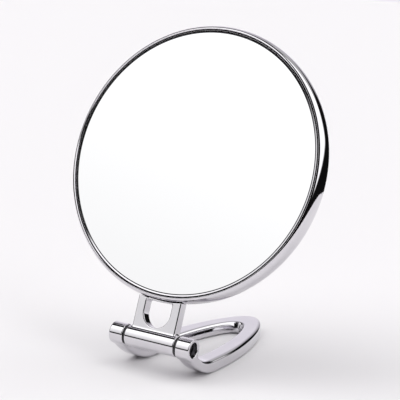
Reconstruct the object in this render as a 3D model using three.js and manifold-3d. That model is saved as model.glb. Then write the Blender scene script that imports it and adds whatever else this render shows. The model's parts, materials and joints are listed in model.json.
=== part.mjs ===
// Countertop mirror: a round, double-sided mirror head on a hairpin stand that is also its handle.
// Millimetres, +Z up, +Y towards the tip of the stand, the front glass faces -Y. The origin is the middle of
// the footprint, on the table.
import * as THREE from 'three';
import { mergeVertices } from 'three/addons/utils/BufferGeometryUtils.js';
import Module from 'manifold-3d';

const wasm = await Module();
wasm.setup();

// ---------- driving dimensions ----------
const GAP = 0.3; // between cut neighbours
const SLACK = 0.2; // between pieces that rest on each other

// Head
const GLASS_SEEN_R = 67.5; // visible radius of either glass
const GLASS_R = 68.0;
const GLASS_FACE = 4.7; // front glass plane, ahead of the head's middle plane
const GLASS_THICK = 2.2;
const REAR_GLASS_THICK = 1.6;
const REAR_SAG = 1.65; // hollow of the magnifying glass
const RIM_R = 71.7;
const RIM_HALF = 5.6; // half the rim's width, front to back
const RIM_CROWN = 2.3; // radial depth of the rim's rounded outer wall
const RIM_BORE_R = 69.05;
const WEB_BORE_R = 64;
const WEB_HALF = 1.1;
const FOAM_R = 60;
const FOAM_RING_R = [56, 63.4];
const FOAM_THICK = 1.0;
const HEAD_RISE = 91.8; // hinge axis to the head's centre
const HEAD_SETBACK = 1.0; // the head's middle plane lies this far behind the hinge axis
const LEAN = THREE.MathUtils.degToRad(18.2); // the head leans back

// Neck
const NECK_HALF = 12.5;
const NECK_THICK = 5.8;
const WINDOW_HALF = 7.6;
const WINDOW_BOTTOM = 6.3;
const SADDLE = 0.6; // strip of the neck that hugs the rim above the window
const LEG_SCREW_X = 10.05;
const LEG_SCREW_R = 0.9;
const LEG_SCREW_HEAD_R = 1.7;
const LEG_SCREW_LENGTH = 9;

// Hinge
const BARREL_R = 5.4;
const BARREL_HALF = 14.4;
const WASHER_THICK = 0.8;
const WASHER_R = 4.9;
const KNUCKLE_END = 23.65;
const RECESS_R = 3.8;
const RECESS_FLOOR = 18.0;
const BOLT_R = 1.75;
const BOLT_HEAD_R = 3.4;
const BOLT_HEAD_THICK = 2.2;
const BARREL_BORE_R = 3.0;
const BUSH_R = 2.8;
const BUSH_LENGTH = 5;
const BORE_CLEARANCE = 0.3;

// Stand, measured from the hinge axis
const LOOP_TOP = -10.1;
const LOOP_BOTTOM = -16.7;
const LOOP_OUTLINE = { half: 23.5, straight: 32, pull: 65, tip: 107.7 };
const HOLE_OUTLINE = { half: 13.7, straight: 22, pull: 57, tip: 89.7 };
const SHOULDER = { width: 1.3, depth: 1.6 }; // rounding of the loop's upper outer edge
const PAD_R = 3.0;
const PAD_POCKET = 0.9;
const PAD_PROUD = 0.4;
const FRONT_PAD = [18.3, 36];
const REAR_PAD_Y = 98.5;

const KNUCKLE_START = BARREL_HALF + WASHER_THICK + 2 * SLACK;
const AXIS_HEIGHT = PAD_PROUD - LOOP_BOTTOM;
const AXIS_Y = -(LOOP_OUTLINE.tip - BARREL_R) / 2; // centres the footprint on the origin
const RING_SEGMENTS = 72;
const TURNED_SEGMENTS = 32;

// ---------- geometry helpers ----------

// Keeps positions only, welds the seams, drops collapsed triangles and turns the faces outward.
function cleanMesh(geometry) {
  const bare = geometry.index ? geometry.toNonIndexed() : geometry.clone();
  for (const name of Object.keys(bare.attributes)) {
    if (name !== 'position') bare.deleteAttribute(name);
  }
  const welded = mergeVertices(bare, 1e-4);
  const p = welded.attributes.position.array;
  const index = welded.index.array;
  const kept = [];
  let volume = 0;
  for (let i = 0; i < index.length; i += 3) {
    const [a, b, c] = [index[i], index[i + 1], index[i + 2]];
    if (a === b || b === c || c === a) continue;
    kept.push(a, b, c);
    const va = new THREE.Vector3().fromArray(p, 3 * a);
    const vb = new THREE.Vector3().fromArray(p, 3 * b);
    const vc = new THREE.Vector3().fromArray(p, 3 * c);
    volume += va.dot(vb.cross(vc));
  }
  if (volume < 0) kept.reverse();
  welded.setIndex(kept);
  return welded;
}

function solid(geometry) {
  const mesh = cleanMesh(geometry);
  return new wasm.Manifold(
    new wasm.Mesh({
      numProp: 3,
      vertProperties: new Float32Array(mesh.attributes.position.array),
      triVerts: new Uint32Array(mesh.index.array),
    }),
  );
}

function geometryOf(manifold) {
  const mesh = manifold.getMesh();
  const geometry = new THREE.BufferGeometry();
  geometry.setAttribute('position', new THREE.BufferAttribute(new Float32Array(mesh.vertProperties), 3));
  geometry.setIndex(new THREE.BufferAttribute(new Uint32Array(mesh.triVerts), 1));
  geometry.computeVertexNormals();
  return geometry;
}

const points2 = (list) => list.map(([x, y]) => new THREE.Vector2(x, y));

// A ring or disc about the head's own axis. The profile is [radius, distance ahead of the middle plane].
function headLathe(profile) {
  const turned = [...profile, profile[0]].map(([r, ahead]) => [r, -ahead]);
  return cleanMesh(new THREE.LatheGeometry(points2(turned), RING_SEGMENTS));
}

// A turned piece about the hinge axis. The profile is [radius, x]; it closes on itself.
function axleLathe(profile, segments = TURNED_SEGMENTS) {
  const geometry = new THREE.LatheGeometry(points2([...profile, profile[0]]), segments);
  return cleanMesh(geometry.rotateZ(-Math.PI / 2));
}

// A solid or hollow cylinder along the hinge axis.
function axleTube(x0, x1, outer, inner = 0, segments = TURNED_SEGMENTS) {
  return axleLathe([[inner, x0], [outer, x0], [outer, x1], [inner, x1]], segments);
}

function block(size, centre) {
  return new THREE.BoxGeometry(...size).translate(...centre);
}

// A cylinder along Z from its low end.
function post(radius, x, y, z0, z1, segments = 24) {
  const geometry = new THREE.CylinderGeometry(radius, radius, z1 - z0, segments).rotateX(Math.PI / 2);
  return geometry.translate(x, y, (z0 + z1) / 2);
}

// Extrudes a shape drawn in (y, z) along X, centred on x = 0.
function extrudeAlongX(shape, width) {
  const geometry = new THREE.ExtrudeGeometry(shape, { depth: width, bevelEnabled: false, curveSegments: 10 });
  const basis = new THREE.Matrix4().makeBasis(
    new THREE.Vector3(0, 1, 0),
    new THREE.Vector3(0, 0, 1),
    new THREE.Vector3(1, 0, 0),
  );
  return geometry.applyMatrix4(basis).translate(-width / 2, 0, 0);
}

// ---------- head pieces, in the head's own frame ----------

// Outer wall with a crowned section, and an inner web that both glasses seat against.
function rimRing() {
  const wall = [];
  const steps = 10;
  for (let i = 0; i <= steps; i += 1) {
    const angle = Math.PI / 2 - (i * Math.PI) / steps;
    const rise = Math.sign(Math.sin(angle)) * Math.abs(Math.sin(angle)) ** 0.8;
    wall.push([RIM_R - RIM_CROWN + RIM_CROWN * Math.abs(Math.cos(angle)), RIM_HALF * rise]);
  }
  const inside = [
    [RIM_BORE_R, -RIM_HALF + GAP],
    [RIM_BORE_R, -WEB_HALF],
    [WEB_BORE_R, -WEB_HALF],
    [WEB_BORE_R, WEB_HALF],
    [RIM_BORE_R, WEB_HALF],
    [RIM_BORE_R, RIM_HALF - GAP],
  ];
  let ring = solid(headLathe([...wall, ...inside]));
  for (const side of [-1, 1]) {
    const x = side * LEG_SCREW_X;
    ring = ring.subtract(solid(post(LEG_SCREW_R + BORE_CLEARANCE, x, 0, -HEAD_RISE + 15, -HEAD_RISE + 25)));
    ring = ring.subtract(solid(post(LEG_SCREW_HEAD_R + GAP, x, 0, -RIM_BORE_R + 0.6, -WEB_BORE_R + 3)));
  }
  return geometryOf(ring);
}

// Slim retaining ring: a bead over the glass edge and a skirt round it. facing is 1 in front, -1 behind.
function bezelRing(facing) {
  const skirtR = RIM_BORE_R - GAP;
  const bead = [
    [GLASS_SEEN_R, GLASS_FACE + SLACK],
    [GLASS_SEEN_R + 0.1, GLASS_FACE + 0.55],
    [GLASS_SEEN_R + 0.5, GLASS_FACE + 0.83],
    [GLASS_SEEN_R + 1.0, GLASS_FACE + 0.9],
    [skirtR - 0.25, GLASS_FACE + 0.7],
    [skirtR, GLASS_FACE + 0.3],
    [skirtR, GLASS_FACE - 1.8],
    [GLASS_R + SLACK, GLASS_FACE - 1.8],
    [GLASS_R + SLACK, GLASS_FACE + SLACK],
  ];
  return headLathe(bead.map(([r, ahead]) => [r, ahead * facing]));
}

const frontGlass = () => headLathe([
  [0, GLASS_FACE],
  [GLASS_R, GLASS_FACE],
  [GLASS_R, GLASS_FACE - GLASS_THICK],
  [0, GLASS_FACE - GLASS_THICK],
]);

// The hollow face is part of a large sphere, so its depth falls with the square of the radius.
function rearGlass() {
  const steps = 6;
  const face = [];
  for (let i = 0; i <= steps; i += 1) {
    const r = (GLASS_R * i) / steps;
    face.push([r, -GLASS_FACE + REAR_SAG * (1 - (r / GLASS_R) ** 2)]);
  }
  const back = face.map(([r, ahead]) => [r, ahead + REAR_GLASS_THICK]).reverse();
  return headLathe([...face, ...back]);
}

function disc(inner, outer, low, high) {
  return headLathe([[inner, low], [outer, low], [outer, high], [inner, high]]);
}

// ---------- neck, in the hinge frame of the head: x, y back, z up the neck ----------

function neckBracket() {
  const windowTop = HEAD_RISE - RIM_R - GAP - SADDLE;
  const corner = 1.2;
  const plate = new THREE.Shape(points2([
    [-NECK_HALF, 0],
    [NECK_HALF, 0],
    [NECK_HALF, HEAD_RISE - RIM_R + 4],
    [-NECK_HALF, HEAD_RISE - RIM_R + 4],
  ]));
  const opening = new THREE.Path();
  opening.absarc(0, WINDOW_BOTTOM + WINDOW_HALF, WINDOW_HALF, Math.PI, 2 * Math.PI, false);
  opening.lineTo(WINDOW_HALF, windowTop - corner);
  opening.absarc(WINDOW_HALF - corner, windowTop - corner, corner, 0, Math.PI / 2, false);
  opening.absarc(-WINDOW_HALF + corner, windowTop - corner, corner, Math.PI / 2, Math.PI, false);
  plate.holes.push(opening);
  const slab = new THREE.ExtrudeGeometry(plate, { depth: NECK_THICK, bevelEnabled: false, curveSegments: 10 });
  slab.rotateX(Math.PI / 2).translate(0, NECK_THICK / 2, 0);
  const seat = new THREE.CylinderGeometry(RIM_R + GAP, RIM_R + GAP, 40, 2 * RING_SEGMENTS);
  let neck = solid(slab)
    .subtract(solid(seat.translate(0, 0, HEAD_RISE)))
    .add(solid(axleTube(-BARREL_HALF, BARREL_HALF, BARREL_R)))
    .subtract(solid(axleTube(-BARREL_HALF - 1, BARREL_HALF + 1, BARREL_BORE_R)));
  for (const side of [-1, 1]) {
    const low = HEAD_RISE - RIM_R - LEG_SCREW_LENGTH + 3;
    const hole = post(LEG_SCREW_R + BORE_CLEARANCE, side * LEG_SCREW_X, HEAD_SETBACK, low, HEAD_RISE - 60);
    neck = neck.subtract(solid(hole));
  }
  return geometryOf(neck);
}

// Pan-head screw that points down into a leg of the neck. z is measured up the neck.
function neckScrew(side) {
  const seat = HEAD_RISE - RIM_BORE_R + 1.2;
  const profile = [
    [0, seat - LEG_SCREW_LENGTH],
    [LEG_SCREW_R * 0.6, seat - LEG_SCREW_LENGTH],
    [LEG_SCREW_R, seat - LEG_SCREW_LENGTH + 0.6],
    [LEG_SCREW_R, seat],
    [LEG_SCREW_HEAD_R, seat],
    [LEG_SCREW_HEAD_R, seat + 0.6],
    [LEG_SCREW_HEAD_R * 0.6, seat + 1.1],
    [0, seat + 1.1],
  ];
  const geometry = new THREE.LatheGeometry(points2([...profile, profile[0]]), 20).rotateX(Math.PI / 2);
  return cleanMesh(geometry.translate(side * LEG_SCREW_X, HEAD_SETBACK, 0));
}

// ---------- stand, in the hinge frame of the stand: x, y back, z up ----------

// A hairpin outline: straight arms that close in a single curve at the tip. The arms start at y = front, where
// they are as wide apart as frontHalf.
function hairpin({ half, straight, pull, tip }, front, frontHalf) {
  const nose = half / 2;
  const shape = new THREE.Shape();
  shape.moveTo(frontHalf, front);
  shape.lineTo(frontHalf, 5);
  shape.bezierCurveTo(frontHalf, 13, half, 13, half, straight);
  shape.bezierCurveTo(half, pull, nose, tip, 0, tip);
  shape.bezierCurveTo(-nose, tip, -half, pull, -half, straight);
  shape.bezierCurveTo(-half, 13, -frontHalf, 13, -frontHalf, 5);
  shape.lineTo(-frontHalf, front);
  shape.closePath();
  return shape;
}

// Side view of the stand: flat behind, with a runner that rises at the front into the knuckle.
function runnerProfile() {
  const shape = new THREE.Shape();
  shape.moveTo(-4.6, -2.6);
  shape.bezierCurveTo(-1, -6.5, 9, LOOP_BOTTOM, 24, LOOP_BOTTOM);
  shape.lineTo(LOOP_OUTLINE.tip + 10, LOOP_BOTTOM);
  shape.lineTo(LOOP_OUTLINE.tip + 10, LOOP_TOP);
  shape.lineTo(22, LOOP_TOP);
  shape.bezierCurveTo(13, LOOP_TOP, 8, -7.5, 4.4, -3.1);
  shape.lineTo(0, 0);
  shape.closePath();
  return shape;
}

function handleLoop() {
  const curveSegments = 12;
  const bevel = {
    bevelEnabled: true,
    bevelThickness: SHOULDER.depth,
    bevelSize: SHOULDER.width,
    bevelOffset: -SHOULDER.width,
    bevelSegments: 3,
  };
  const depth = LOOP_TOP - LOOP_BOTTOM + 4 - 2 * SHOULDER.depth;
  const outline = hairpin(LOOP_OUTLINE, -10, KNUCKLE_END);
  const slab = new THREE.ExtrudeGeometry(outline, { depth, curveSegments, ...bevel });
  slab.translate(0, 0, LOOP_TOP - depth - SHOULDER.depth);
  const holeOutline = hairpin(HOLE_OUTLINE, -12, KNUCKLE_START);
  const opening = new THREE.ExtrudeGeometry(holeOutline, { depth: 40, bevelEnabled: false, curveSegments });
  const frontBlock = block([2 * KNUCKLE_END, 30, 40], [0, 7, 0]);
  const barrelRoom = axleTube(-KNUCKLE_START, KNUCKLE_START, BARREL_R + 2 * GAP);
  let loop = solid(slab)
    .add(solid(frontBlock))
    .intersect(solid(extrudeAlongX(runnerProfile(), 60)))
    .subtract(solid(opening.translate(0, 0, -30)))
    .subtract(solid(barrelRoom));
  for (const side of [-1, 1]) {
    const ends = [side * KNUCKLE_START, side * KNUCKLE_END].sort((a, b) => a - b);
    loop = loop.add(solid(axleTube(...ends, BARREL_R)));
    const recess = [side * RECESS_FLOOR, side * (KNUCKLE_END + 1)].sort((a, b) => a - b);
    loop = loop.subtract(solid(axleTube(...recess, RECESS_R)));
  }
  loop = loop.subtract(solid(axleTube(-KNUCKLE_END, KNUCKLE_END, BOLT_R + BORE_CLEARANCE)));
  for (const [x, y] of padPlaces()) {
    loop = loop.subtract(solid(post(PAD_R + GAP, x, y, LOOP_BOTTOM - 2, LOOP_BOTTOM + PAD_POCKET)));
  }
  return geometryOf(loop);
}

function padPlaces() {
  return [[-FRONT_PAD[0], FRONT_PAD[1]], [FRONT_PAD[0], FRONT_PAD[1]], [0, REAR_PAD_Y]];
}

function footPad(x, y) {
  return cleanMesh(post(PAD_R, x, y, LOOP_BOTTOM - PAD_PROUD, LOOP_BOTTOM + PAD_POCKET - SLACK));
}

// ---------- hinge hardware ----------

function hingeBolt() {
  const seat = RECESS_FLOOR + 1.2;
  const profile = [
    [0, -RECESS_FLOOR - 4],
    [BOLT_R * 0.75, -RECESS_FLOOR - 4],
    [BOLT_R, -RECESS_FLOOR - 3.5],
    [BOLT_R, seat],
    [BOLT_HEAD_R, seat],
    [BOLT_HEAD_R, seat + 1.2],
    [BOLT_HEAD_R * 0.85, seat + 1.9],
    [BOLT_HEAD_R * 0.5, seat + BOLT_HEAD_THICK],
    [0, seat + BOLT_HEAD_THICK],
  ];
  const slot = [1.6, 0.8, 3.6];
  const slotCentre = [seat + BOLT_HEAD_THICK, 0, 0];
  const bolt = solid(axleLathe(profile))
    .subtract(solid(block(slot, slotCentre)))
    .subtract(solid(block([slot[0], slot[2], slot[1]], slotCentre)));
  return geometryOf(bolt);
}

function hingeNut() {
  const start = -RECESS_FLOOR - 1.0;
  const hexagon = solid(axleTube(start - 2.8, start, 3.45, 0, 6));
  return geometryOf(hexagon.subtract(solid(axleTube(start - 4, start + 1, BOLT_R + BORE_CLEARANCE))));
}

// Conical spring washer under the bolt's head.
function springWasher() {
  const inner = BOLT_R + BORE_CLEARANCE;
  const floor = RECESS_FLOOR + SLACK;
  return axleLathe([[inner, floor + 0.3], [3.3, floor], [3.3, floor + 0.45], [inner, floor + 0.75]]);
}

// ---------- assembly ----------

const LOOKS = {
  chrome: { color: 0xd9d7da, roughness: 0.06, metalness: 1 },
  mirror: { color: 0xf6f6f8, roughness: 0.02, metalness: 1 },
  board: { color: 0x3a3a3d, roughness: 0.7, metalness: 0 },
  foam: { color: 0xe9e7e0, roughness: 0.95, metalness: 0 },
  nylon: { color: 0x1c1b1e, roughness: 0.5, metalness: 0 },
  steel: { color: 0x9b9da2, roughness: 0.3, metalness: 1 },
  darkSteel: { color: 0x5e5e62, roughness: 0.35, metalness: 1 },
  rubber: { color: 0x2a2a2c, roughness: 0.9, metalness: 0 },
};

function piece(name, geometry, look, parent, place = [0, 0, 0]) {
  const mesh = new THREE.Mesh(geometry, new THREE.MeshStandardMaterial(LOOKS[look]));
  mesh.name = name;
  mesh.position.set(...place);
  parent.add(mesh);
}

const mirror = new THREE.Group();
const stand = new THREE.Group();
const head = new THREE.Group();
stand.position.set(0, AXIS_Y, AXIS_HEIGHT);
head.position.copy(stand.position);
head.rotation.x = -LEAN;
mirror.add(stand, head);

const headCentre = [0, HEAD_SETBACK, HEAD_RISE];
const padFace = WEB_HALF + SLACK;
piece('rim_ring', rimRing(), 'chrome', head, headCentre);
piece('front_bezel_ring', bezelRing(1), 'chrome', head, headCentre);
piece('rear_bezel_ring', bezelRing(-1), 'chrome', head, headCentre);
piece('front_mirror_glass', frontGlass(), 'mirror', head, headCentre);
piece('rear_mirror_glass', rearGlass(), 'mirror', head, headCentre);
piece('core_plate', disc(0, WEB_BORE_R - GAP, -WEB_HALF, WEB_HALF), 'board', head, headCentre);
piece('front_foam_pad', disc(0, FOAM_R, padFace, padFace + FOAM_THICK), 'foam', head, headCentre);
piece('rear_foam_ring', disc(...FOAM_RING_R, -padFace - FOAM_THICK, -padFace), 'foam', head, headCentre);
piece('neck_bracket', neckBracket(), 'chrome', head);
for (const [name, side] of [['left', -1], ['right', 1]]) {
  const bush = [side * (BARREL_HALF - SLACK), side * (BARREL_HALF - SLACK - BUSH_LENGTH)].sort((a, b) => a - b);
  const washer = [side * (BARREL_HALF + SLACK), side * (BARREL_HALF + SLACK + WASHER_THICK)].sort((a, b) => a - b);
  piece(`neck_screw_${name}`, neckScrew(side), 'steel', head);
  piece(`hinge_bush_${name}`, axleTube(...bush, BUSH_R, BOLT_R + BORE_CLEARANCE), 'nylon', head);
  piece(`friction_washer_${name}`, axleTube(...washer, WASHER_R, BOLT_R + BORE_CLEARANCE), 'nylon', stand);
}
piece('handle_loop', handleLoop(), 'chrome', stand);
piece('hinge_bolt', hingeBolt(), 'darkSteel', stand);
piece('hinge_nut', hingeNut(), 'darkSteel', stand);
piece('spring_washer', springWasher(), 'steel', stand);
const washerSpan = [-RECESS_FLOOR - SLACK - 0.6, -RECESS_FLOOR - SLACK];
piece('plain_washer', axleTube(...washerSpan, BOLT_HEAD_R, BOLT_R + BORE_CLEARANCE), 'steel', stand);
const padNames = ['foot_pad_front_left', 'foot_pad_front_right', 'foot_pad_rear'];
padPlaces().forEach(([x, y], i) => piece(padNames[i], footPad(x, y), 'rubber', stand));

export default mirror;
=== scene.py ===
"""A round chrome countertop mirror on a hairpin stand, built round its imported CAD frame.

Lengths are in millimetres until a mesh is made, and metres in Blender. The stand is drawn in the hinge
frame: x along the hinge, y back, z up, with the hinge axis as origin. The head is drawn in the same frame
leaned back.
"""

import json
import math

import bpy
import numpy as np
from mathutils import Matrix, Vector


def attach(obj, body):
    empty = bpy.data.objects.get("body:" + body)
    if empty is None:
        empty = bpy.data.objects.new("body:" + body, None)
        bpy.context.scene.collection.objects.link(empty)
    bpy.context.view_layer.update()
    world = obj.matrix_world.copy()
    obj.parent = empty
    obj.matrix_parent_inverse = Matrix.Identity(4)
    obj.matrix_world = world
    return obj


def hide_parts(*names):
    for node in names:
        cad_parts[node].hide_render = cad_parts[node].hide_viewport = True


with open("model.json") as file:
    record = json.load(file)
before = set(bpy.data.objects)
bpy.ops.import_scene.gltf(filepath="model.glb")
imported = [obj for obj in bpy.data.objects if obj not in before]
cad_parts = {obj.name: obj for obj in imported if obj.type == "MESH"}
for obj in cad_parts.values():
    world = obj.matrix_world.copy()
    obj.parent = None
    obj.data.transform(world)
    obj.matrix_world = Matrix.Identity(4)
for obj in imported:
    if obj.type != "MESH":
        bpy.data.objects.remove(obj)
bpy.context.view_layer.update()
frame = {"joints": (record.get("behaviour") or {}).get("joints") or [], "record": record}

MM = 0.001
HINGE = Vector(frame["joints"][0]["pos_m"])
LEAN = math.radians(18.2)
STAND = Matrix.Translation(HINGE)
HEAD = STAND @ Matrix.Rotation(-LEAN, 4, "X")

# ---------- driving dimensions, mm ----------
# Head
HEAD_RISE = 91.8  # hinge axis to the head's centre, up the neck
HEAD_SETBACK = 1.0
GLASS_R = 68.0
PAINTED_EDGE_SHADE_R = 67.4  # where the painted dark edge band starts: painted shade for the bezel lip's shaded reflection seen through the glass
GLASS_FACE = 4.7  # front glass plane, ahead of the head's middle plane
GLASS_THICK = 2.2
REAR_GLASS_THICK = 1.6
REAR_SAG = 1.65
RIM_R = 71.7
RIM_HALF = 5.6
RIM_CROWN = 2.3
RIM_BORE_R = 69.05
WEB_BORE_R = 64.0
WEB_HALF = 1.1
PAD_FACE = 1.3  # where the foam starts, off the middle plane
FOAM_THICK = 1.0
FOAM_R = 60.0
FOAM_RING = (56.0, 63.4)

# Neck
NECK_HALF = 12.5
NECK_THICK = 5.8
NECK_EDGE = 0.6
NECK_MIDDLE = 12  # height of the plate's middle, before the rim trims its top
NECK_HALF_HEIGHT = 14
WINDOW_HALF = 7.6
WINDOW_MIDDLE = 13.9  # centre of the window's round bottom
WINDOW_CORNER = 1.6
SADDLE = 0.75  # thickness of the strip that hugs the rim above the window
LEG_SCREW_X = 10.05
LEG_SCREW_R = 0.9
LEG_SCREW_HEAD_R = 1.7
LEG_SCREW_LENGTH = 9.0
LEG_HOLE_SPAN = (77.7, 60.0)  # the screw holes run between these distances below the head's centre

# Hinge
BARREL_R = 5.4
BARREL_HALF = 14.4
WASHER_SPAN = (14.6, 15.4)
WASHER_R = 4.9
KNUCKLE = (15.6, 23.65)
RECESS_R = 3.8
RECESS_FLOOR = 18.0
BOLT_R = 1.75
BOLT_BORE_R = 2.05
BOLT_SEAT = 19.2
BOLT_HEAD_R = 3.4
BOLT_HEAD_THICK = 2.2
BOLT_END = -22.0
DOME_R = 6.5  # of the bolt head's rounded face
CROSS_DEPTH = 1.3
THREAD_PITCH = 0.7
THREAD_LENGTH = 7
BARREL_BORE_R = 3.0
BUSH_R = 2.8
BUSH_LENGTH = 5.0
NUT_SPAN = (-21.8, -19.0)
NUT_CORNER_R = 3.45

# Stand
LOOP_TOP = -10.1
LOOP_BOTTOM = -16.7
LOOP_OUTLINE = dict(half=23.5, straight=32.0, pull=65.0, tip=107.7)
HOLE_OUTLINE = dict(half=13.7, straight=22.0, pull=57.0, tip=89.7)
HOLE_DRAFT = 0.27  # the finger hole's wall leans out by this much of its height
HOLE_DRAFT_DEPTH = 3.4
FRONT_PAD = (18.3, 36.0)
REAR_PAD_Y = 98.5
PAD_R = 3.0
PAD_POCKET = 0.9
PAD_PROUD = 0.4

ON_AXIS = 1e-6  # a radius under this counts as on the axis
CLEARANCE = 0.3


# ---------- mesh making ----------
def finished(name, body, slot, material, points, faces, normals, place, replaced):
    """Turns millimetre points into a piece on its body, with its true normals."""
    mesh = bpy.data.meshes.new(name)
    world = [place @ (Vector(p) * MM) for p in points]
    mesh.from_pydata(world, [], faces)
    mesh.shade_smooth()
    turn = np.array(place.to_3x3())
    mesh.normals_split_custom_set_from_vertices(np.asarray(normals) @ turn.T)
    piece = bpy.data.objects.new(name, mesh)
    bpy.context.scene.collection.objects.link(piece)
    mesh.materials.append(material)
    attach(piece, body)
    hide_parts(*replaced)
    return piece


def softened(profile, radius, steps=5):
    """Rounds each corner of a closed profile with a smooth curve. A point may carry its own radius third."""
    points = []
    count = len(profile)
    for i, corner in enumerate(profile):
        here = np.array(corner[:2], float)
        before = np.array(profile[i - 1][:2], float) - here
        after = np.array(profile[(i + 1) % count][:2], float) - here
        reach = corner[2] if len(corner) > 2 else radius
        reach = min(reach, 0.45 * np.linalg.norm(before), 0.45 * np.linalg.norm(after))
        if reach < 1e-4 or here[0] < ON_AXIS:
            points.append(here)
            continue
        start = here + before / np.linalg.norm(before) * reach
        end = here + after / np.linalg.norm(after) * reach
        for t in np.linspace(0, 1, steps):
            points.append((1 - t) ** 2 * start + 2 * t * (1 - t) * here + t * t * end)
    return np.array(points)


def turning(profile):
    """Twice the signed area of a closed profile, positive where it runs anticlockwise."""
    x, y = profile.T
    return np.sum(x * np.roll(y, -1) - np.roll(x, -1) * y)


def profile_normals(profile):
    """Outward normals of a closed profile, weighted by the length of each side so that flats stay flat."""
    ahead = np.roll(profile, -1, 0) - profile
    side = np.stack([ahead[:, 1], -ahead[:, 0]], 1)
    if turning(profile) < 0:
        side = -side
    length = np.linalg.norm(side, axis=1, keepdims=True)
    weighted = side * length
    total = weighted + np.roll(weighted, 1, 0)
    return total / np.maximum(np.linalg.norm(total, axis=1, keepdims=True), 1e-12)


def revolve(profile, axis, centre, segments):
    """Points, faces and normals of a closed profile of (radius, along) turned round axis through centre."""
    axis = Vector(axis).normalized()
    first = axis.orthogonal().normalized()
    second = axis.cross(first)
    normals2 = profile_normals(profile)
    points, normals, rows = [], [], []
    for (radius, along), (out, forward) in zip(profile, normals2):
        if radius < ON_AXIS:
            rows.append([len(points)] * segments)
            points.append(Vector(centre) + axis * along)
            normals.append(axis * math.copysign(1, forward))
            continue
        row = []
        for k in range(segments):
            angle = 2 * math.pi * k / segments
            radial = first * math.cos(angle) + second * math.sin(angle)
            row.append(len(points))
            points.append(Vector(centre) + radial * radius + axis * along)
            normals.append(radial * out + axis * forward)
        rows.append(row)
    faces = []
    outward = turning(profile) > 0
    for i, low in enumerate(rows):
        high = rows[(i + 1) % len(rows)]
        for k in range(segments):
            j = (k + 1) % segments
            corners = [low[k], low[j], high[j], high[k]]
            face = list(dict.fromkeys(corners))
            if len(face) > 2:
                faces.append(face if outward else face[::-1])
    return points, faces, normals


def turned(name, body, slot, material, profile, axis, centre, segments, place, replaced):
    """A piece turned about an axis. The profile is (radius, distance along the axis)."""
    mesh = revolve(np.array(profile), axis, centre, segments)
    return finished(name, body, slot, material, *mesh, place, replaced)


def head_turned(name, slot, material, profile, segments, replaced):
    """A ring or disc of the head. The profile is (radius, distance ahead of the middle plane)."""
    centre = (0, HEAD_SETBACK, HEAD_RISE)
    return turned(name, "head", slot, material, profile, (0, -1, 0), centre, segments, HEAD, replaced)


# ---------- solids drawn as distance fields ----------
def smooth_max(a, b, k):
    """The larger of two distances, with the crease between them rounded over about k."""
    h = np.maximum(k - np.abs(a - b), 0) / k
    return np.maximum(a, b) + h * h * k / 4


def smooth_min(a, b, k):
    return -smooth_max(-a, -b, k)


def rounded_box(p, centre, half, radius):
    q = np.abs(p - np.array(centre)) - (np.array(half) - radius)
    outside = np.linalg.norm(np.maximum(q, 0), axis=1)
    return outside + np.minimum(q.max(1), 0) - radius


def rod_x(p, x0, x1, radius, edge=0.3):
    """A cylinder along the hinge axis with rounded ends."""
    across = np.hypot(p[:, 1], p[:, 2]) - radius
    along = np.abs(p[:, 0] - (x0 + x1) / 2) - (x1 - x0) / 2
    return smooth_max(across, along, edge)


def post_z(p, x, y, z0, z1, radius, edge=0.2):
    across = np.hypot(p[:, 0] - x, p[:, 1] - y) - radius
    along = np.abs(p[:, 2] - (z0 + z1) / 2) - (z1 - z0) / 2
    return smooth_max(across, along, edge)


def bezier(p0, p1, p2, p3, count):
    t = np.linspace(0, 1, count, endpoint=False)[:, None]
    p0, p1, p2, p3 = (np.array(p, float) for p in (p0, p1, p2, p3))
    return (1 - t) ** 3 * p0 + 3 * t * (1 - t) ** 2 * p1 + 3 * t * t * (1 - t) * p2 + t ** 3 * p3


def outline_distance(points, outline):
    """Signed distance from 2-D points to a closed outline, negative inside."""
    nearest = np.full(len(points), np.inf)
    inside = np.zeros(len(points), bool)
    x, y = points[:, 0], points[:, 1]
    for a, b in zip(outline, np.roll(outline, -1, 0)):
        edge = b - a
        offset = points - a
        t = np.clip(offset @ edge / (edge @ edge), 0, 1)
        nearest = np.minimum(nearest, ((offset - t[:, None] * edge) ** 2).sum(1))
        if a[1] != b[1]:
            crosses = (a[1] > y) != (b[1] > y)
            inside ^= crosses & (x < edge[0] * (y - a[1]) / edge[1] + a[0])
    return np.sqrt(nearest) * np.where(inside, -1, 1)


class Outline:
    """A closed outline's distance, kept on a grid and read back through cubic B-splines, so it's smooth."""

    def __init__(self, outline, low, high, step=0.5):
        self.low = np.array(low, float)
        self.step = step
        axes = [np.arange(a, b + step, step) for a, b in zip(low, high)]
        grid = np.stack(np.meshgrid(*axes, indexing="ij"), -1)
        self.shape = grid.shape[:2]
        self.grid = outline_distance(grid.reshape(-1, 2), outline).reshape(self.shape)

    def __call__(self, x, y):
        place = (np.stack([x, y], 1) - self.low) / self.step
        place = np.clip(place, 1, np.array(self.shape) - 2.001)
        cell = np.floor(place).astype(int)
        t = place - cell
        cubics = [(1 - t) ** 3, 3 * t ** 3 - 6 * t ** 2 + 4, -3 * t ** 3 + 3 * t ** 2 + 3 * t + 1, t ** 3]
        weights = np.stack(cubics) / 6
        total = np.zeros(len(x))
        for i in range(4):
            for j in range(4):
                ix = np.clip(cell[:, 0] + i - 1, 0, self.shape[0] - 1)
                iy = np.clip(cell[:, 1] + j - 1, 0, self.shape[1] - 1)
                total += weights[i, :, 0] * weights[j, :, 1] * self.grid[ix, iy]
        return total


def gradient(field, points, h=0.02):
    parts = []
    for axis in range(3):
        shift = np.zeros(3)
        shift[axis] = h
        parts.append(field(points + shift) - field(points - shift))
    return np.stack(parts, 1) / (2 * h)


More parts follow.
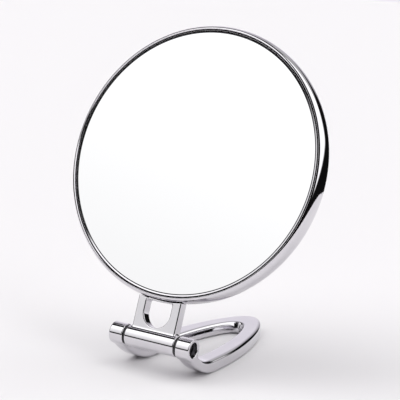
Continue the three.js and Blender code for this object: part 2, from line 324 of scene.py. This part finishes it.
def drawn_onto(field, points, rounds):
    """Moves points along the field's slope until they lie on its surface."""
    for _ in range(rounds):
        slope = gradient(field, points)
        size = np.maximum((slope ** 2).sum(1), 0.05)
        pull = field(points) / size
        points = points - slope * np.clip(pull, -0.5, 0.5)[:, None]
    return points


def evened(field, points, faces, rounds=3, own_share=0.4):
    """Moves each point towards the middle of its neighbours, and back onto the surface."""
    for _ in range(rounds):
        total = np.zeros_like(points)
        count = np.zeros(len(points))
        for a in range(4):
            np.add.at(total, faces[:, a], points[faces[:, (a + 1) % 4]] + points[faces[:, a - 1]])
            np.add.at(count, faces[:, a], 2)
        points = own_share * points + (1 - own_share) * total / np.maximum(count, 1)[:, None]
        points = drawn_onto(field, points, 2)
    return points


def skin(field, low, high, step):
    """Surface nets: a point in each cell that the surface crosses, a quad across each crossed edge."""
    axes = [np.arange(a - step, b + 2 * step, step) for a, b in zip(low, high)]
    grid = np.stack(np.meshgrid(*axes, indexing="ij"), -1)
    shape = grid.shape[:3]
    value = field(grid.reshape(-1, 3)).reshape(shape)
    inside = value < 0
    cells = tuple(n - 1 for n in shape)
    total = np.zeros(cells + (3,))
    count = np.zeros(cells)
    quads = []
    for axis in range(3):
        one = [slice(None)] * 3
        two = [slice(None)] * 3
        one[axis] = slice(0, -1)
        two[axis] = slice(1, None)
        v0, v1 = value[tuple(one)], value[tuple(two)]
        crossed = inside[tuple(one)] != inside[tuple(two)]
        t = np.where(crossed, v0 / np.where(crossed, v0 - v1, 1), 0)
        place = grid[tuple(one)].copy()
        place[..., axis] += t * step
        others = [a for a in range(3) if a != axis]
        for du in (0, 1):
            for dv in (0, 1):
                take = [slice(None)] * 3
                take[others[0]] = slice(du, du + cells[others[0]])
                take[others[1]] = slice(dv, dv + cells[others[1]])
                mask = crossed[tuple(take)]
                total += place[tuple(take)] * mask[..., None]
                count += mask
        quads.append((axis, others, crossed, inside[tuple(one)]))
    active = count > 0
    number = np.full(cells, -1)
    number[active] = np.arange(active.sum())
    points = total[active] / count[active][:, None]
    faces = []
    for axis, others, crossed, first_in in quads:
        at = np.argwhere(crossed)
        keep = (at[:, others[0]] > 0) & (at[:, others[1]] > 0)
        keep &= (at[:, others[0]] < cells[others[0]]) & (at[:, others[1]] < cells[others[1]])
        at = at[keep]
        corners = []
        for du, dv in ((1, 1), (0, 1), (0, 0), (1, 0)):
            c = at.copy()
            c[:, others[0]] -= du
            c[:, others[1]] -= dv
            corners.append(number[c[:, 0], c[:, 1], c[:, 2]])
        quad = np.stack(corners, 1)
        flip = first_in[at[:, 0], at[:, 1], at[:, 2]] != (axis == 1)
        quad[~flip] = quad[~flip][:, ::-1]
        faces.append(quad)
    faces = np.concatenate(faces)
    points = evened(field, drawn_onto(field, points, 3), faces)
    slope = gradient(field, points)
    normals = slope / np.maximum(np.linalg.norm(slope, axis=1, keepdims=True), 1e-9)
    return points, faces.tolist(), normals


def cast(name, body, slot, material, field, low, high, step, place, replaced):
    return finished(name, body, slot, material, *skin(field, low, high, step), place, replaced)


# ---------- materials ----------
FINISH = {m["slot"]: m["base_color"] for m in frame["record"]["materials"]}


class Look:
    """A node material whose colour, roughness and relief come from procedural texture."""

    def __init__(self, name, slot, **sockets):
        self.material = bpy.data.materials.new(name)
        self.material.use_nodes = True
        self.tree = self.material.node_tree
        self.shader = self.tree.nodes["Principled BSDF"]
        self.base = FINISH[slot]
        for socket, value in sockets.items():
            self.shader.inputs[socket.replace("_", " ")].default_value = value
        self.coords = self.tree.nodes.new("ShaderNodeTexCoord").outputs["Object"]

    def node(self, kind, inputs=None, **settings):
        made = self.tree.nodes.new(kind)
        for key, value in settings.items():
            setattr(made, key, value)
        for key, value in (inputs or {}).items():
            socket = made.inputs[key]
            if isinstance(value, bpy.types.NodeSocket):
                self.tree.links.new(value, socket)
            else:
                socket.default_value = value
        return made

    def noise(self, scale, detail=3.0, stretch=(1, 1, 1)):
        place = self.node("ShaderNodeMapping", {"Vector": self.coords, "Scale": stretch}).outputs[0]
        inputs = {"Vector": place, "Scale": scale, "Detail": detail}
        return self.node("ShaderNodeTexNoise", inputs).outputs["Fac"]

    def cells(self, scale):
        return self.node("ShaderNodeTexVoronoi", {"Vector": self.coords, "Scale": scale}).outputs[0]

    def spread(self, value, low, high, start=0.3, end=0.7):
        inputs = {"Value": value, "From Min": start, "From Max": end, "To Min": low, "To Max": high}
        return self.node("ShaderNodeMapRange", inputs).outputs[0]

    def tint(self, value, dark, light):
        shades = [[c * f for c, f in zip(self.base, factor)] + [1] for factor in (dark, light)]
        mix = self.node("ShaderNodeMix", data_type="RGBA")
        self.tree.links.new(value, mix.inputs[0])
        mix.inputs[6].default_value = shades[0]
        mix.inputs[7].default_value = shades[1]
        self.tree.links.new(mix.outputs[2], self.shader.inputs["Base Color"])

    def relief(self, heights):
        """Bumps one over another. Each is (height socket, strength, depth in metres)."""
        normal = None
        for height, strength, depth in heights:
            inputs = {"Height": height, "Strength": strength, "Distance": depth}
            if normal is not None:
                inputs["Normal"] = normal
            normal = self.node("ShaderNodeBump", inputs).outputs[0]
        self.tree.links.new(normal, self.shader.inputs["Normal"])

    def rough(self, value):
        self.tree.links.new(value, self.shader.inputs["Roughness"])


def chrome_look(name, haze=0.035):
    """Plated casting: a tight polish with faint buffing haze, fine hairlines and a soft cast waviness."""
    look = Look(name, "chrome", Metallic=1.0)
    patches = look.noise(90, 4)
    hairlines = look.noise(500, 1, stretch=(1, 0.2, 0.5))
    look.tint(look.spread(patches, 0, 1), (0.97, 0.965, 0.985), (1.03, 1.025, 1.03))
    look.rough(look.spread(hairlines, haze, haze + 0.045, 0.45, 0.75))
    look.relief([(look.noise(60, 2), 0.10, 0.0004), (hairlines, 0.008, 0.00004)])
    return look.material


def mirror_look(name):
    """Silvered glass, with a painted dark band round the edge of the silvering: painted shade standing in for
    the bezel lip's shaded reflection seen through the glass's thickness.
    """
    look = Look(name, "mirror", Metallic=1.0)
    smudges = look.noise(28, 5)
    look.rough(look.spread(smudges, 0.008, 0.022, 0.5, 0.8))
    centre = HEAD @ Vector((0, HEAD_SETBACK * MM, HEAD_RISE * MM))
    local = look.node("ShaderNodeMapping", {"Vector": look.coords, "Location": -centre}).outputs[0]
    turn = {"Vector": local, "Rotation": (LEAN, 0, 0)}
    level = look.node("ShaderNodeMapping", turn).outputs[0]
    radial = look.node("ShaderNodeVectorMath", {0: level, 1: (1, 0, 1)}, operation="MULTIPLY").outputs[0]
    radius = look.node("ShaderNodeVectorMath", {0: radial}, operation="LENGTH").outputs["Value"]
    # Painted shade: a near-black band at the edge of the silvering, for the bezel lip's shaded reflection in
    # the glass.
    painted_edge_shade = look.spread(radius, 0, 1, (PAINTED_EDGE_SHADE_R - 0.06) * MM, (PAINTED_EDGE_SHADE_R + 0.06) * MM)
    look.tint(painted_edge_shade, (1, 1, 1), (0.02, 0.022, 0.025))
    look.relief([(look.noise(9, 1), 0.012, 0.002)])
    return look.material


def steel_look(name, slot, painted_recess_shade=1.0):
    """Machined steel with turning marks across the hinge axis. Its colour can be scaled down, as painted
    shade for parts that sit in recesses.
    """
    look = Look(name, slot, Metallic=1.0)
    marks = look.noise(2600, 2, stretch=(1, 0.15, 0.15))
    stains = look.noise(500, 3)
    look.tint(look.spread(stains, 0, 1), [0.8 * painted_recess_shade] * 3, (1.15 * painted_recess_shade, 1.13 * painted_recess_shade, 1.08 * painted_recess_shade))
    look.rough(look.spread(marks, 0.2, 0.42))
    look.relief([(marks, 0.15, 0.00004)])
    return look.material


def moulded_look(name, slot, grain, depth, rough, sheen=0.0):
    look = Look(name, slot, Sheen_Weight=sheen)
    fine = look.noise(grain, 3)
    broad = look.noise(grain / 12, 2)
    look.tint(look.spread(broad, 0, 1), (0.85, 0.85, 0.85), (1.2, 1.2, 1.2))
    look.rough(look.spread(fine, rough - 0.06, rough + 0.08))
    look.relief([(fine, 0.35, depth)])
    return look.material


def foam_look(name):
    """Closed-cell foam: small burst cells on the skin."""
    look = Look(name, "foam", Subsurface_Weight=0.05)
    pores = look.cells(1500)
    look.tint(look.spread(pores, 0, 1, 0.0, 0.6), (0.78, 0.76, 0.72), (1.04, 1.04, 1.05))
    look.rough(look.spread(look.noise(400), 0.82, 0.95))
    look.relief([(pores, 0.6, 0.0003), (look.noise(120, 3), 0.4, 0.0003)])
    return look.material


CHROME = chrome_look("chrome_plate")
CHROME_RIM = chrome_look("chrome_plate_rim", 0.03)
MIRROR = mirror_look("silvered_glass")
STEEL = steel_look("zinc_steel", "steel")
# The black-oxide colour of the slot is halved here: painted shade that darkens the bolt head and nut in their
# knuckle recesses.
DARK_STEEL = steel_look("black_oxide_steel_painted_shade", "dark_steel", 0.5)
NYLON = moulded_look("black_nylon", "nylon", 2400, 0.00003, 0.42)
RUBBER = moulded_look("soft_rubber", "rubber", 1800, 0.00006, 0.75, sheen=0.15)
BOARD = moulded_look("pressed_board", "board", 700, 0.0001, 0.7)
FOAM = foam_look("closed_cell_foam")


# ---------- head ----------
def rim_profile():
    """Crowned outer wall, rolled edges, and an inner web between the two glasses."""
    wall = []
    for angle in np.linspace(math.pi / 2, -math.pi / 2, 41):
        rise = math.copysign(abs(math.sin(angle)) ** 0.8, math.sin(angle))
        wall.append((RIM_R - RIM_CROWN + RIM_CROWN * math.cos(angle), RIM_HALF * rise))
    inside = softened([
        (RIM_BORE_R, -RIM_HALF + 0.5, 0),
        (RIM_BORE_R, -WEB_HALF, 0.3),
        (WEB_BORE_R, -WEB_HALF, 0.25),
        (WEB_BORE_R, WEB_HALF, 0.25),
        (RIM_BORE_R, WEB_HALF, 0.3),
        (RIM_BORE_R, RIM_HALF - 0.5, 0),
    ], 0.25)
    return np.concatenate([wall, inside])


def bezel_profile(facing):
    """A bead that laps the edge of the glass, and a skirt pressed down round it."""
    skirt = RIM_BORE_R - 0.3
    face = GLASS_FACE
    lip = GLASS_R - 0.1
    corners = [
        (lip, face + 0.05, 0.05),
        (lip, face + 0.14, 0.03),
        (lip + 0.68, face + 0.36, 0.08),
        (skirt - 0.03, face + 0.05, 0.1),
        (skirt, face - 0.5, 0.1),
        (skirt, face - 1.8, 0.1),
        (GLASS_R + 0.2, face - 1.8, 0.1),
        (GLASS_R + 0.2, face + 0.05, 0.05),
    ]
    return softened([(r, ahead * facing, reach) for r, ahead, reach in corners], 0.1, 6)


def front_glass_profile():
    back = GLASS_FACE - GLASS_THICK
    return softened([(0, GLASS_FACE), (GLASS_R, GLASS_FACE, 0.35), (GLASS_R, back, 0.35), (0, back)], 0.3, 4)


def rear_glass_profile():
    radii = np.linspace(0, GLASS_R - 0.3, 24)
    face = [(r, -GLASS_FACE + REAR_SAG * (1 - (r / GLASS_R) ** 2)) for r in radii]
    edge = [(GLASS_R, -GLASS_FACE + 0.3), (GLASS_R, -GLASS_FACE + REAR_GLASS_THICK - 0.3)]
    back = [(r, ahead + REAR_GLASS_THICK) for r, ahead in face[::-1]]
    return np.array(face + edge + back)


def core_profile():
    """A flat disc with shallow moulded grooves in both faces."""
    outer = WEB_BORE_R - 0.3
    top = [(0, WEB_HALF)]
    for radius in (18, 34, 50):
        top += [(radius - 0.9, WEB_HALF), (radius - 0.5, WEB_HALF - 0.35)]
        top += [(radius + 0.5, WEB_HALF - 0.35), (radius + 0.9, WEB_HALF)]
    top.append((outer, WEB_HALF))
    return softened(top + [(r, -ahead) for r, ahead in top[::-1]], 0.2, 4)


def foam_profile(inner, outer, low, high):
    """A die-cut foam sheet: its cut edges bulge a little."""
    middle = (low + high) / 2
    side = [(outer - 0.25, high), (outer, middle), (outer - 0.25, low)]
    if inner == 0:
        return softened([(0, high)] + side + [(0, low)], 0.25, 5)
    return softened(side + [(inner + 0.25, low), (inner, middle), (inner + 0.25, high)], 0.25, 5)


def make_head_rings():
    head_turned("rim_casing", "chrome", CHROME_RIM, rim_profile(), 384, ["rim_ring"])
    for side, facing in (("front", 1), ("rear", -1)):
        head_turned(f"{side}_bezel", "chrome", CHROME_RIM, bezel_profile(facing), 384, [f"{side}_bezel_ring"])
    head_turned("front_mirror", "mirror", MIRROR, front_glass_profile(), 384, ["front_mirror_glass"])
    head_turned("rear_mirror", "mirror", MIRROR, rear_glass_profile(), 384, ["rear_mirror_glass"])
    head_turned("core_board", "board", BOARD, core_profile(), 192, ["core_plate"])
    pad = foam_profile(0, FOAM_R, PAD_FACE, PAD_FACE + FOAM_THICK)
    ring = foam_profile(*FOAM_RING, -PAD_FACE - FOAM_THICK, -PAD_FACE)
    head_turned("front_foam", "foam", FOAM, pad, 192, ["front_foam_pad"])
    head_turned("rear_foam", "foam", FOAM, ring, 192, ["rear_foam_ring"])


def window_distance(x, z):
    """The neck's opening: round below, and closed above by a thin saddle that follows the rim."""
    lower = np.hypot(x, np.minimum(z - WINDOW_MIDDLE, 0)) - WINDOW_HALF
    upper = RIM_R + SADDLE - np.hypot(x, z - HEAD_RISE)
    return smooth_max(lower, upper, WINDOW_CORNER)


def neck_field(p):
    x, y, z = p.T
    plate = rounded_box(p, (0, 0, NECK_MIDDLE), (NECK_HALF, NECK_THICK / 2, NECK_HALF_HEIGHT), NECK_EDGE)
    plate = smooth_max(plate, -window_distance(x, z), 0.7)
    barrel = rod_x(p, -BARREL_HALF, BARREL_HALF, BARREL_R, 0.5)
    body = smooth_min(plate, barrel, 0.9)
    from_head = np.hypot(x, z - HEAD_RISE)
    body = smooth_max(body, RIM_R + 0.1 - from_head, 0.3)
    body = smooth_max(body, -rod_x(p, -BARREL_HALF - 2, BARREL_HALF + 2, BARREL_BORE_R), 0.3)
    bottom, top = (HEAD_RISE - below for below in LEG_HOLE_SPAN)
    for side in (-1, 1):
        hole = post_z(p, side * LEG_SCREW_X, HEAD_SETBACK, bottom, top, LEG_SCREW_R + CLEARANCE)
        body = smooth_max(body, -hole, 0.2)
    return body


def leg_screw_profile():
    """A shank with a tapered end, and a domed head that sits inside the rim."""
    seat = HEAD_RISE - RIM_BORE_R + 1.2
    return softened([
        (0, seat - LEG_SCREW_LENGTH),
        (LEG_SCREW_R * 0.6, seat - LEG_SCREW_LENGTH),
        (LEG_SCREW_R, seat - LEG_SCREW_LENGTH + 0.6),
        (LEG_SCREW_R, seat),
        (LEG_SCREW_HEAD_R, seat),
        (LEG_SCREW_HEAD_R, seat + 0.6, 0.3),
        (LEG_SCREW_HEAD_R * 0.6, seat + 1.1, 0.3),
        (0, seat + 1.1),
    ], 0.12, 4)


def make_neck():
    low, high = (-15, -6, -6), (15, 6, 23)
    cast("neck_casting", "head", "chrome", CHROME, neck_field, low, high, 0.25, HEAD, ["neck_bracket"])
    profile = leg_screw_profile()
    for name, side in (("left", -1), ("right", 1)):
        centre = (side * LEG_SCREW_X, HEAD_SETBACK, 0)
        piece, cad = f"leg_screw_{name}", [f"neck_screw_{name}"]
        turned(piece, "head", "steel", STEEL, profile, (0, 0, 1), centre, 40, HEAD, cad)


# ---------- stand ----------
def hairpin(half, straight, pull, tip, front, front_half, count=120):
    """Straight arms that close in one curve at the tip, and stand front_half from the middle in front."""
    nose = half / 2
    right = np.concatenate([
        [(front_half, front)],
        bezier((front_half, 5), (front_half, 13), (half, 13), (half, straight), count // 2),
        bezier((half, straight), (half, pull), (nose, tip), (0, tip), count),
    ])
    left = right[::-1] * (-1, 1)
    return np.concatenate([right, [(0, tip)], left])


def runner_profile():
    """Side view of the stand: flat behind, rising at the front into the knuckle."""
    far = LOOP_OUTLINE["tip"] + 10
    return np.concatenate([
        bezier((-4.6, -2.6), (-1, -6.5), (9, LOOP_BOTTOM), (24, LOOP_BOTTOM), 60),
        [(24, LOOP_BOTTOM), (far, LOOP_BOTTOM), (far, LOOP_TOP)],
        bezier((22, LOOP_TOP), (13, LOOP_TOP), (8, -7.5), (4.4, -3.1), 40),
        [(4.4, -3.1), (0, 0)],
    ])


def make_loop_field():
    outer = Outline(hairpin(**LOOP_OUTLINE, front=-12, front_half=KNUCKLE[1]), (-28, -14), (28, 112))
    hole = Outline(hairpin(**HOLE_OUTLINE, front=-16, front_half=KNUCKLE[0]), (-28, -14), (28, 112))
    runner = Outline(runner_profile(), (-8, -20), (112, 4), 0.4)

    def field(p):
        x, y, z = p.T
        edge = np.interp(z, [LOOP_BOTTOM + 1, LOOP_TOP - 2], [0.8, 2.4])
        body = smooth_max(outer(x, y), runner(y, z), edge)
        flare = HOLE_DRAFT * np.clip(z - LOOP_TOP + HOLE_DRAFT_DEPTH, 0, HOLE_DRAFT_DEPTH + 1)
        flare = flare * np.clip((y - 14) / 20, 0, 1)
        body = smooth_max(body, flare - hole(x, y), 1.3)
        for side in (-1, 1):
            ends = sorted((side * KNUCKLE[0], side * KNUCKLE[1]))
            body = smooth_min(body, rod_x(p, *ends, BARREL_R, 0.5), 1.2)
        body = smooth_max(body, -rod_x(p, -KNUCKLE[0], KNUCKLE[0], BARREL_R + 0.6, 0.3), 0.4)
        body = smooth_max(body, np.abs(x) - KNUCKLE[1], 0.4)
        for side in (-1, 1):
            recess = sorted((side * RECESS_FLOOR, side * (KNUCKLE[1] + 3)))
            body = smooth_max(body, -rod_x(p, *recess, RECESS_R, 0.3), 0.4)
        body = smooth_max(body, -rod_x(p, -KNUCKLE[1], KNUCKLE[1], BOLT_BORE_R), 0.2)
        for px, py in pad_places():
            pocket = post_z(p, px, py, LOOP_BOTTOM - 2, LOOP_BOTTOM + PAD_POCKET, PAD_R + CLEARANCE)
            body = smooth_max(body, -pocket, 0.2)
        return body

    return field


def pad_places():
    return [(-FRONT_PAD[0], FRONT_PAD[1]), (FRONT_PAD[0], FRONT_PAD[1]), (0, REAR_PAD_Y)]


def make_stand():
    low, high = (-KNUCKLE[1] - 0.5, -6, LOOP_BOTTOM - 0.5), (KNUCKLE[1] + 0.5, 108.5, 6)
    cast("stand_loop", "stand", "chrome", CHROME, make_loop_field(), low, high, 0.5, STAND, ["handle_loop"])
    names = ("front_left", "front_right", "rear")
    for name, (x, y) in zip(names, pad_places()):
        low, high = LOOP_BOTTOM - PAD_PROUD, LOOP_BOTTOM + PAD_POCKET - 0.2
        profile = softened([(0, low), (PAD_R, low, 0.35), (PAD_R, high, 0.15), (0, high)], 0.2, 5)
        cad = [f"foot_pad_{name}"]
        turned(f"foot_{name}", "stand", "rubber", RUBBER, profile, (0, 0, 1), (x, y, 0), 48, STAND, cad)


# ---------- hinge hardware ----------
def thread(p, radius, depth):
    """A screw thread about the hinge axis, as a change of radius."""
    turn = np.arctan2(p[:, 2], p[:, 1]) / (2 * math.pi)
    phase = (p[:, 0] / THREAD_PITCH + turn) % 1
    return np.hypot(p[:, 1], p[:, 2]) - radius + depth * (1 - np.abs(2 * phase - 1))


def bolt_field(p):
    x = p[:, 0]
    shank = rod_x(p, BOLT_END, BOLT_SEAT + 0.5, BOLT_R, 0.6)
    threaded = np.where(x < BOLT_END + THREAD_LENGTH, thread(p, BOLT_R, 0.22), -9.0)
    shank = smooth_max(shank, threaded, 0.1)
    top = BOLT_SEAT + BOLT_HEAD_THICK
    dome = np.sqrt((x - top + DOME_R) ** 2 + p[:, 1] ** 2 + p[:, 2] ** 2) - DOME_R
    head = smooth_max(rod_x(p, BOLT_SEAT, top, BOLT_HEAD_R, 0.5), dome, 0.3)
    bolt = smooth_min(shank, head, 0.3)
    reach = np.clip((x - top + CROSS_DEPTH) / CROSS_DEPTH, 0, 2)
    for a, b in ((p[:, 1], p[:, 2]), (p[:, 2], p[:, 1])):
        arm = np.maximum(np.abs(a) - 0.35 - 0.1 * reach, np.abs(b) - 1.1 - 0.75 * reach)
        arm = smooth_max(arm, top - CROSS_DEPTH - x, 0.15)
        bolt = smooth_max(bolt, -arm, 0.15)
    return bolt


def nut_field(p):
    start, end = NUT_SPAN
    x = p[:, 0]
    angles = [math.radians(60 * k + 30) for k in range(3)]
    flats = NUT_CORNER_R * math.cos(math.radians(30))
    body = np.abs(x - (start + end) / 2) - (end - start) / 2
    for angle in angles:
        side = np.abs(p[:, 1] * math.cos(angle) + p[:, 2] * math.sin(angle)) - flats
        body = smooth_max(body, side, 0.12)
    radius = np.hypot(p[:, 1], p[:, 2])
    for sign, face in ((1, end), (-1, start)):
        chamfer = (radius - 3.1) * 0.5 + sign * (x - face) * 0.87
        body = smooth_max(body, chamfer, 0.1)
    return smooth_max(body, -thread(p, BOLT_BORE_R, 0.2), 0.1)


def axle_ring(name, body, slot, material, span, outer, edge, replaced, segments=72):
    """A plain ring round the bolt, between two places along the hinge."""
    x0, x1 = span
    profile = softened([(BOLT_BORE_R, x0), (outer, x0), (outer, x1), (BOLT_BORE_R, x1)], edge, 5)
    place = STAND if body == "stand" else HEAD
    turned(name, body, slot, material, profile, (1, 0, 0), (0, 0, 0), segments, place, [replaced])


def make_bolt_and_nut():
    size = BOLT_HEAD_R + 0.2
    low, high = (BOLT_END - 0.2, -size, -size), (BOLT_SEAT + BOLT_HEAD_THICK + 0.2, size, size)
    cast("axle_bolt", "stand", "dark_steel", DARK_STEEL, bolt_field, low, high, 0.13, STAND, ["hinge_bolt"])
    low, high = (-RECESS_FLOOR - 4, -3.7, -3.7), (-RECESS_FLOOR - 0.8, 3.7, 3.7)
    cast("axle_nut", "stand", "dark_steel", DARK_STEEL, nut_field, low, high, 0.12, STAND, ["hinge_nut"])


def make_hinge():
    make_bolt_and_nut()
    for name, side in (("left", -1), ("right", 1)):
        span = sorted(side * x for x in WASHER_SPAN)
        cad = f"friction_washer_{name}"
        axle_ring(f"washer_{name}", "stand", "nylon", NYLON, span, WASHER_R, 0.12, cad, 96)
        mouth = BARREL_HALF - 0.2
        span = sorted((side * mouth, side * (mouth - BUSH_LENGTH)))
        axle_ring(f"bush_{name}", "head", "nylon", NYLON, span, BUSH_R, 0.2, f"hinge_bush_{name}")
    span = (-RECESS_FLOOR - 0.8, -RECESS_FLOOR - 0.2)
    axle_ring("flat_washer", "stand", "steel", STEEL, span, 3.4, 0.12, "plain_washer")
    base = RECESS_FLOOR + 0.2
    cone = softened([
        (BOLT_BORE_R, base + 0.3),
        (3.3, base),
        (3.3, base + 0.45),
        (BOLT_BORE_R, base + 0.75),
    ], 0.1, 4)
    turned("cone_washer", "stand", "steel", STEEL, cone, (1, 0, 0), (0, 0, 0), 72, STAND, ["spring_washer"])


# ---------- stage ----------
VIEW_AZIMUTH, VIEW_ELEVATION, VIEW_ROLL = (math.radians(a) for a in (30.04, 10.34, 3.76))
VIEW_TARGET = (-0.6, 38.1, 66.7)  # from the hinge, mm
VIEW_DISTANCE = 612  # mm
LENS = 106.6
TABLE_R = 0.44  # metres, like the rest of the stage
FLOOR_R = 40
FLOOR_DROP = 0.0002
COOL_GREY = (1.0, 0.965, 1.04)


def aim_camera():
    """A long lens from the right of the front, a little above the table."""
    target = HINGE + Vector(VIEW_TARGET) * MM
    outward = Vector((math.sin(VIEW_AZIMUTH), -math.cos(VIEW_AZIMUTH), 0))
    back = outward * math.cos(VIEW_ELEVATION) + Vector((0, 0, math.sin(VIEW_ELEVATION)))
    level = Vector((math.cos(VIEW_AZIMUTH), math.sin(VIEW_AZIMUTH), 0))
    upright = back.cross(level)
    right = level * math.cos(VIEW_ROLL) + upright * math.sin(VIEW_ROLL)
    up = upright * math.cos(VIEW_ROLL) - level * math.sin(VIEW_ROLL)
    camera = bpy.data.objects.new("camera", bpy.data.cameras.new("camera"))
    bpy.context.scene.collection.objects.link(camera)
    turn = Matrix((right, up, back)).transposed().to_4x4()
    camera.matrix_world = Matrix.Translation(target + back * VIEW_DISTANCE * MM) @ turn
    camera.data.sensor_width = 36
    camera.data.lens = LENS
    camera.data.clip_start = 0.01
    camera.data.clip_end = 60
    bpy.context.scene.camera = camera


def disc(name, radius, height, material):
    sides = 96
    angles = np.linspace(0, 2 * math.pi, sides, endpoint=False)
    edge = [(radius * math.cos(a), radius * math.sin(a), height) for a in angles]
    mesh = bpy.data.meshes.new(name)
    mesh.from_pydata(edge, [], [range(sides)])
    mesh.materials.append(material)
    item = bpy.data.objects.new(name, mesh)
    bpy.context.scene.collection.objects.link(item)
    return item


def floor_material():
    material = bpy.data.materials.new("pale_floor")
    material.use_nodes = True
    shader = material.node_tree.nodes["Principled BSDF"]
    shader.inputs["Base Color"].default_value = (0.80, 0.785, 0.80, 1)
    shader.inputs["Roughness"].default_value = 0.9
    shader.inputs["Specular IOR Level"].default_value = 0.0
    return material


def make_floor():
    """A plain floor. Its part near the object shows in the polish, and the rest only in the picture."""
    pale = floor_material()
    disc("table", TABLE_R, 0, pale)
    outer = disc("floor", FLOOR_R, -FLOOR_DROP, pale)
    outer.visible_glossy = False


class Studio:
    """Soft boxes drawn on the sky by direction, in degrees: azimuth from the front towards +X, elevation."""

    def __init__(self):
        world = bpy.data.worlds.new("studio")
        world.use_nodes = True
        bpy.context.scene.world = world
        self.tree = world.node_tree
        self.background = self.tree.nodes["Background"]
        direction = self.tree.nodes.new("ShaderNodeTexCoord").outputs["Generated"]
        parts = self.tree.nodes.new("ShaderNodeSeparateXYZ")
        self.tree.links.new(direction, parts.inputs[0])
        x, y, z = parts.outputs
        back = self.math("MULTIPLY", y, -1.0)
        self.azimuth = self.math("DEGREES", self.math("ARCTAN2", x, back))
        self.elevation = self.math("DEGREES", self.math("ARCSINE", z))
        self.total = None

    def math(self, operation, *values):
        made = self.tree.nodes.new("ShaderNodeMath")
        made.operation = operation
        for socket, value in zip(made.inputs, values):
            if isinstance(value, bpy.types.NodeSocket):
                self.tree.links.new(value, socket)
            else:
                socket.default_value = value
        return made.outputs[0]

    def ramp(self, value, start, end, low=0.0, high=1.0):
        made = self.tree.nodes.new("ShaderNodeMapRange")
        made.interpolation_type = "SMOOTHSTEP"
        self.tree.links.new(value, made.inputs["Value"])
        for key, number in (("From Min", start), ("From Max", end), ("To Min", low), ("To Max", high)):
            made.inputs[key].default_value = number
        return made.outputs[0]

    def box(self, azimuth, elevation, glow, fade=None, soft=6.0, foot=3.0, colour=(1, 1, 1)):
        """A soft box between two azimuths and two elevations. fade is its glow at its upper edge.

        soft and foot are the half widths of its soft edges, foot at its lower edge.
        """
        middle = (azimuth[0] + azimuth[1]) / 2
        half = (azimuth[1] - azimuth[0]) / 2
        off = self.math("WRAP", self.math("SUBTRACT", self.azimuth, middle), 180.0, -180.0)
        across = self.ramp(self.math("ABSOLUTE", off), half - soft, half + soft, 1.0, 0.0)
        rise = self.ramp(self.elevation, elevation[0] - foot, elevation[0] + foot)
        fall = self.ramp(self.elevation, elevation[1] - soft, elevation[1] + soft, 1.0, 0.0)
        light = self.math("MULTIPLY", across, self.math("MULTIPLY", rise, fall))
        level = self.ramp(self.elevation, elevation[0], elevation[1], glow, glow if fade is None else fade)
        light = self.math("MULTIPLY", light, level)
        tinted = self.tree.nodes.new("ShaderNodeVectorMath")
        tinted.operation = "SCALE"
        tinted.inputs[0].default_value = colour
        self.tree.links.new(light, tinted.inputs["Scale"])
        if self.total is None:
            self.total = tinted.outputs[0]
        else:
            join = self.tree.nodes.new("ShaderNodeVectorMath")
            join.operation = "ADD"
            self.tree.links.new(self.total, join.inputs[0])
            self.tree.links.new(tinted.outputs[0], join.inputs[1])
            self.total = join.outputs[0]

    def finish(self):
        self.tree.links.new(self.total, self.background.inputs["Color"])
        self.background.inputs["Strength"].default_value = 1.0


def light_studio():
    studio = Studio()
    # A faint glow all round.
    studio.box((-180, 180), (-100, 100), 0.006)
    # Large box on the right, and a weaker one high up behind.
    studio.box((60, 152), (9, 88), 1.5, soft=5)
    studio.box((145, 190), (26, 75), 0.5, soft=8)
    # Box in front on the left, brighter towards its top.
    studio.box((-77, -14), (9, 68), 0.92, fade=1.9, soft=3, foot=4)
    # Dim wall behind on the left, with a brighter middle.
    studio.box((184, 253), (-3, 72), 0.38, fade=0.2, soft=3, colour=COOL_GREY)
    studio.box((196, 225), (-3, 72), 0.6, fade=0.3, soft=12, colour=COOL_GREY)
    studio.finish()
    lamp = bpy.data.lights.new("ceiling", "SUN")
    lamp.energy = 1.6
    lamp.angle = math.radians(80)
    ceiling = bpy.data.objects.new("ceiling", lamp)
    bpy.context.scene.collection.objects.link(ceiling)
    ceiling.rotation_euler = (math.radians(12), math.radians(-14), 0)
    ceiling.visible_glossy = False
    view = bpy.context.scene.view_settings
    view.view_transform = "Standard"
    view.look = "None"


make_head_rings()
make_neck()
make_stand()
make_hinge()
aim_camera()
make_floor()
light_studio()
